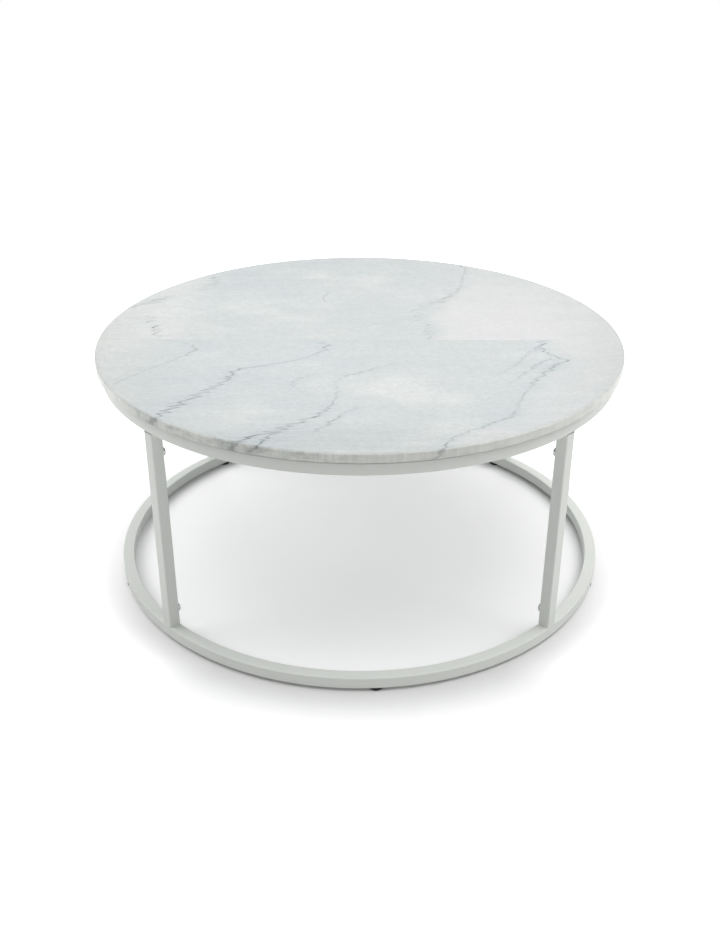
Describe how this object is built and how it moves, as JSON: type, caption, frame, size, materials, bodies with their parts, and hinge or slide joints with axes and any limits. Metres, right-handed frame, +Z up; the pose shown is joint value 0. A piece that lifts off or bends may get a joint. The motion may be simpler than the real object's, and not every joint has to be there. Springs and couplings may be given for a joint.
{
  "type": "coffee table",
  "caption": "Low round coffee table: a thin marble disc on an open frame of square-tube rings joined by bolted upright legs, on levelling feet.",
  "frame": {"origin": "on the floor, under the centre of the round top", "axes": "+Z up; -Y is the front that the picture shows, +X is to the right seen from the front; the joint between the slabs runs along X"},
  "size_m": [0.8998, 0.8999, 0.42],
  "materials": {
    "marble": "polished pale marble with fine grey veins",
    "powder_coat": "satin off-white powder coat on steel",
    "zinc_steel": "bright zinc plate",
    "brass_insert": "plain turned brass",
    "clear_pad": "clear soft silicone",
    "black_nylon": "moulded black nylon"
  },
  "bodies": {
    "frame": {"marble_rear_slab": "marble", "marble_front_slab": "marble", "top_ring": "powder_coat", "cross_rail": "powder_coat", "fixing_tabs": "powder_coat", "upper_spigots": "powder_coat", "leg_front_left": "powder_coat", "leg_front_right": "powder_coat", "leg_rear_left": "powder_coat", "leg_rear_right": "powder_coat", "bottom_ring": "powder_coat", "lower_spigots": "powder_coat", "upper_weld_nuts": "zinc_steel", "lower_weld_nuts": "zinc_steel", "upper_leg_bolts": "zinc_steel", "lower_leg_bolts": "zinc_steel", "spring_washers": "zinc_steel", "flat_washers": "zinc_steel", "marble_inserts": "brass_insert", "tab_screws": "zinc_steel", "ring_pads": "clear_pad", "rail_pads": "clear_pad", "foot_nuts": "zinc_steel"},
    "foot_front_base": {"foot_front_base": "black_nylon"},
    "foot_front_stud": {"foot_front_stud": "zinc_steel"},
    "foot_right_base": {"foot_right_base": "black_nylon"},
    "foot_right_stud": {"foot_right_stud": "zinc_steel"},
    "foot_left_base": {"foot_left_base": "black_nylon"},
    "foot_left_stud": {"foot_left_stud": "zinc_steel"},
    "foot_rear_right_base": {"foot_rear_right_base": "black_nylon"},
    "foot_rear_right_stud": {"foot_rear_right_stud": "zinc_steel"},
    "foot_rear_left_base": {"foot_rear_left_base": "black_nylon"},
    "foot_rear_left_stud": {"foot_rear_left_stud": "zinc_steel"}
  },
  "joints": [
    {"name": "foot_front_travel", "type": "slide", "parent": "frame", "child": "foot_front_base", "axis": [0, 0, -1], "range_m": [0, 0.008]},
    {"name": "foot_front_turn", "type": "hinge", "parent": "foot_front_base", "child": "foot_front_stud", "pos_m": [0.02637, -0.43119, 0.004], "axis": [0, 0, -1], "range_deg": [0, 2305]},
    {"name": "foot_right_travel", "type": "slide", "parent": "frame", "child": "foot_right_base", "axis": [0, 0, -1], "range_m": [0, 0.008]},
    {"name": "foot_right_turn", "type": "hinge", "parent": "foot_right_base", "child": "foot_right_stud", "pos_m": [0.40595, -0.14775, 0.004], "axis": [0, 0, -1], "range_deg": [0, 2305]},
    {"name": "foot_left_travel", "type": "slide", "parent": "frame", "child": "foot_left_base", "axis": [0, 0, -1], "range_m": [0, 0.008]},
    {"name": "foot_left_turn", "type": "hinge", "parent": "foot_left_base", "child": "foot_left_stud", "pos_m": [-0.40595, -0.14775, 0.004], "axis": [0, 0, -1], "range_deg": [0, 2305]},
    {"name": "foot_rear_right_travel", "type": "slide", "parent": "frame", "child": "foot_rear_right_base", "axis": [0, 0, -1], "range_m": [0, 0.008]},
    {"name": "foot_rear_right_turn", "type": "hinge", "parent": "foot_rear_right_base", "child": "foot_rear_right_stud", "pos_m": [0.29462, 0.31594, 0.004], "axis": [0, 0, -1], "range_deg": [0, 2305]},
    {"name": "foot_rear_left_travel", "type": "slide", "parent": "frame", "child": "foot_rear_left_base", "axis": [0, 0, -1], "range_m": [0, 0.008]},
    {"name": "foot_rear_left_turn", "type": "hinge", "parent": "foot_rear_left_base", "child": "foot_rear_left_stud", "pos_m": [-0.29462, 0.31594, 0.004], "axis": [0, 0, -1], "range_deg": [0, 2305]}
  ],
  "couplings": [
    {"joint": "foot_front_turn", "follows": "foot_front_travel", "rad_per_m": 5026.5},
    {"joint": "foot_right_turn", "follows": "foot_right_travel", "rad_per_m": 5026.5},
    {"joint": "foot_left_turn", "follows": "foot_left_travel", "rad_per_m": 5026.5},
    {"joint": "foot_rear_right_turn", "follows": "foot_rear_right_travel", "rad_per_m": 5026.5},
    {"joint": "foot_rear_left_turn", "follows": "foot_rear_left_travel", "rad_per_m": 5026.5}
  ]
}
